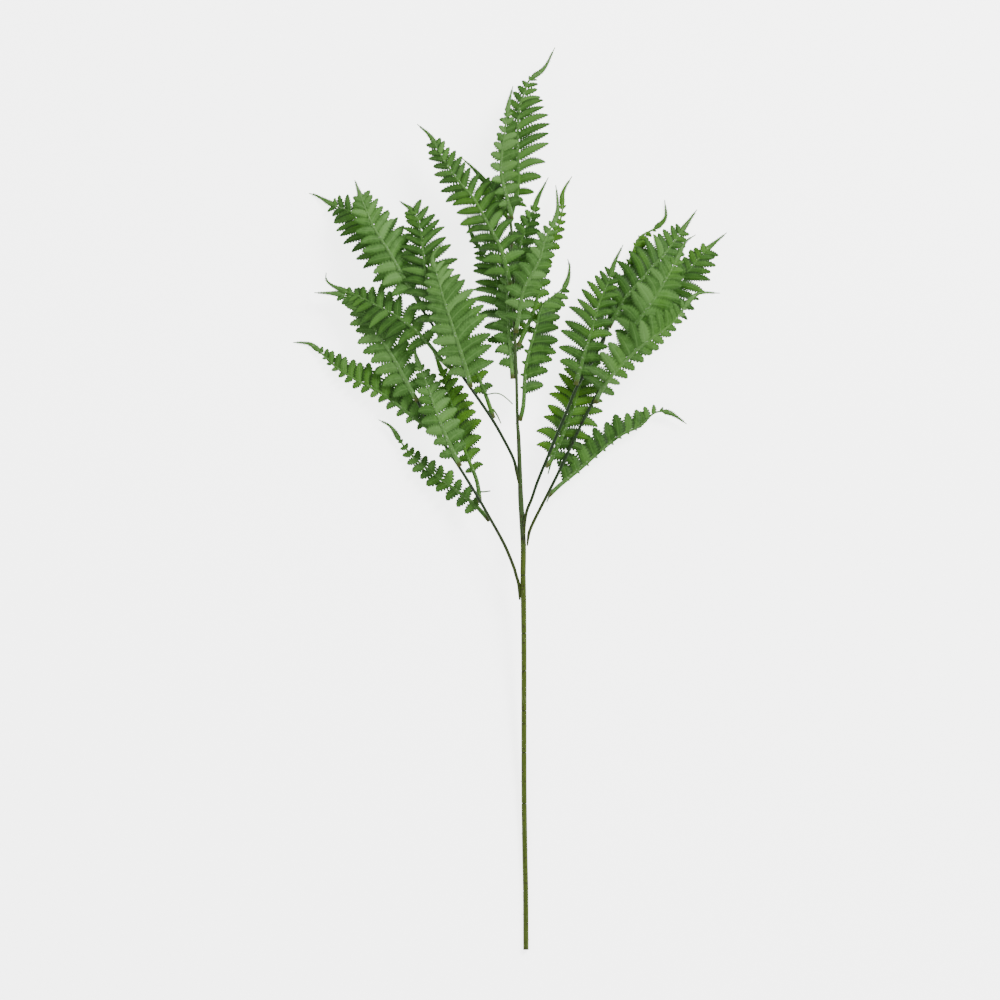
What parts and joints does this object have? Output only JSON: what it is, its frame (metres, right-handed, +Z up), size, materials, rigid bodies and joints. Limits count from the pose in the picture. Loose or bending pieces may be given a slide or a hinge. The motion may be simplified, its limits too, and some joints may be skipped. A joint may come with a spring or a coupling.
{
  "type": "bracken frond",
  "caption": "Artificial bracken spray laid flat: a sleeved wire stem forks into thin branches that carry moulded fronds with rows of lance-shaped leaflets.",
  "frame": {"origin": "centre of the spray's outline seen from above, on the surface it lies on", "axes": "+Y along the stem from its cut end to the top frond, +Z up off the surface, +X to the right seen from above"},
  "size_m": [0.4346, 0.9042, 0.0728],
  "materials": {
    "sleeve_olive": "satin sleeve",
    "sleeve_dark": "satin sleeve",
    "leaf_light": "satin moulded plastic",
    "leaf_mid": "satin moulded plastic",
    "leaf_deep": "satin moulded plastic"
  },
  "bodies": {
    "root": {"main_stem": "sleeve_olive", "branch_left_low": "sleeve_dark", "branch_left_high": "sleeve_dark", "branch_right_inner": "sleeve_dark", "branch_right_outer": "sleeve_dark", "frond_top": "leaf_mid", "frond_top_front": "leaf_light", "frond_upper_left_back": "leaf_deep", "frond_upper_left": "leaf_mid", "frond_upper_right_inner": "leaf_mid", "frond_upper_right_front": "leaf_light", "frond_upper_right_back": "leaf_deep", "frond_mid_left": "leaf_mid", "frond_mid_front": "leaf_light", "frond_mid_right": "leaf_mid", "frond_left_tip": "leaf_mid", "frond_left_tip_front": "leaf_light", "frond_left_upper": "leaf_mid", "frond_left_front": "leaf_light", "frond_left_back": "leaf_deep", "frond_left_cross": "leaf_mid", "frond_left_mid": "leaf_light", "frond_left_outer": "leaf_mid", "frond_left_inner": "leaf_light", "frond_left_shaded": "leaf_deep", "frond_left_lowest": "leaf_mid", "frond_right_inner_low": "leaf_deep", "frond_right_inner_high": "leaf_mid", "frond_right_back": "leaf_deep", "frond_right_upper": "leaf_mid", "frond_right_lowest": "leaf_mid", "frond_right_folded": "leaf_light", "frond_right_front": "leaf_light", "frond_right_outer": "leaf_mid"}
  },
  "joints": []
}
